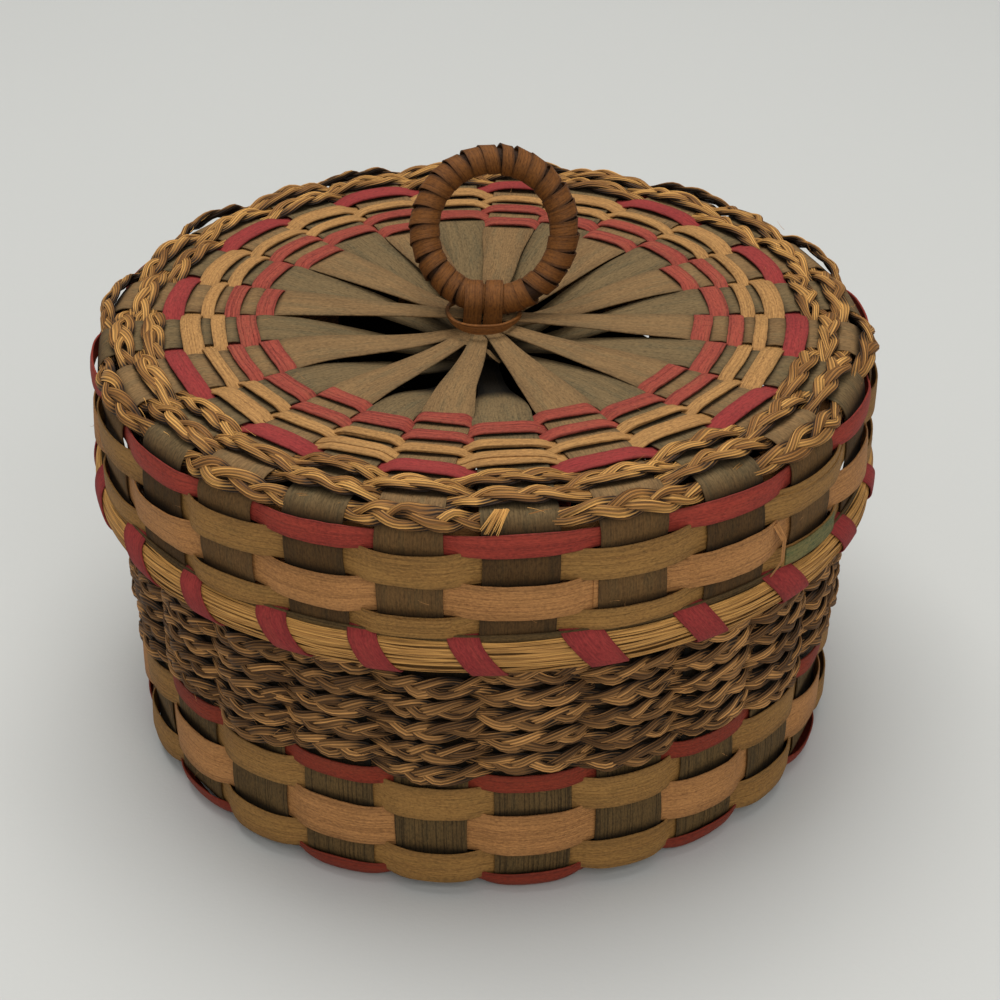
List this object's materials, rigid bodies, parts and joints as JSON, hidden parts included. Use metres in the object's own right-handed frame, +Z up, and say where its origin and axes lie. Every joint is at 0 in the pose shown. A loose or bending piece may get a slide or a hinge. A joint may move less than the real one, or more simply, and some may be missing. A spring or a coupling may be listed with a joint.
{
  "type": "covered splint basket",
  "caption": "Round woven splint basket with braided grass rows, a deep lift-off lid and a small wrapped ring handle.",
  "frame": {"origin": "on the ground under the middle of the base", "axes": "+Z up through the middle of the lid, -Y towards the front, the ring handle's pivot along X"},
  "size_m": [0.1708, 0.1708, 0.1274],
  "materials": {
    "brown_ash": "undyed aged ash splint, brown, dry and matt",
    "green_ash": "ash splint with a faded green-grey dye, dry and matt",
    "tan_ash": "aged tan ash splint with fine lengthwise grain",
    "pink_ash": "faded pink-red dyed splint, matt",
    "red_ash": "red dyed splint, matt",
    "magenta_ash": "magenta dyed splint, matt",
    "lid_sweetgrass": "golden dried sweetgrass, soft sheen",
    "wall_sweetgrass": "browner dried sweetgrass, soft sheen",
    "handle_ash": "warm brown splint wrapping, soft sheen"
  },
  "bodies": {
    "basket": {"body_standard_01": "green_ash", "body_standard_02": "green_ash", "body_standard_03": "green_ash", "body_standard_04": "green_ash", "body_standard_05": "green_ash", "body_standard_06": "green_ash", "body_standard_07": "green_ash", "body_standard_08": "green_ash", "body_standard_09": "green_ash", "body_standard_10": "green_ash", "body_standard_11": "green_ash", "body_standard_12": "green_ash", "base_row_1": "tan_ash", "base_row_2": "tan_ash", "body_red_row_low": "red_ash", "body_tan_row_1": "tan_ash", "body_tan_row_2": "tan_ash", "body_tan_row_3": "tan_ash", "body_red_row_high": "red_ash", "wall_braid_first": "wall_sweetgrass", "wall_braid_second": "wall_sweetgrass", "body_broad_row_1": "tan_ash", "body_broad_row_2": "tan_ash", "body_inner_hoop": "tan_ash", "body_outer_hoop": "tan_ash", "body_rim_lashing": "tan_ash"},
    "lid": {"lid_standard_01": "green_ash", "lid_standard_02": "brown_ash", "lid_standard_03": "green_ash", "lid_standard_04": "brown_ash", "lid_standard_05": "green_ash", "lid_standard_06": "brown_ash", "lid_standard_07": "green_ash", "lid_standard_08": "brown_ash", "lid_standard_09": "green_ash", "lid_standard_10": "brown_ash", "lid_standard_11": "green_ash", "lid_standard_12": "brown_ash", "lid_pink_row_1": "pink_ash", "lid_pink_row_2": "pink_ash", "lid_pink_row_3": "pink_ash", "lid_tan_row_1": "tan_ash", "lid_tan_row_2": "tan_ash", "lid_tan_row_3": "tan_ash", "lid_magenta_row": "magenta_ash", "lid_braid_1": "lid_sweetgrass", "lid_braid_2": "lid_sweetgrass", "lid_braid_3": "lid_sweetgrass", "lid_braid_4": "lid_sweetgrass", "skirt_red_row": "red_ash", "skirt_tan_row_1": "tan_ash", "skirt_tan_row_2": "tan_ash", "skirt_tan_row_3": "tan_ash", "lid_inner_hoop": "tan_ash", "lid_rim_sweetgrass": "lid_sweetgrass", "lid_rim_lashing": "magenta_ash", "handle_tie": "handle_ash", "handle_collar": "tan_ash"},
    "handle": {"handle_ring": "handle_ash", "handle_wrap": "handle_ash"}
  },
  "joints": [
    {"name": "lid_lift", "type": "slide", "parent": "basket", "child": "lid", "axis": [0, 0, 1], "range_m": [0, 0.044]},
    {"name": "ring_tilt", "type": "hinge", "parent": "lid", "child": "handle", "pos_m": [0, 0, 0.09781], "axis": [1, 0, 0], "range_deg": [-8, 60]}
  ]
}
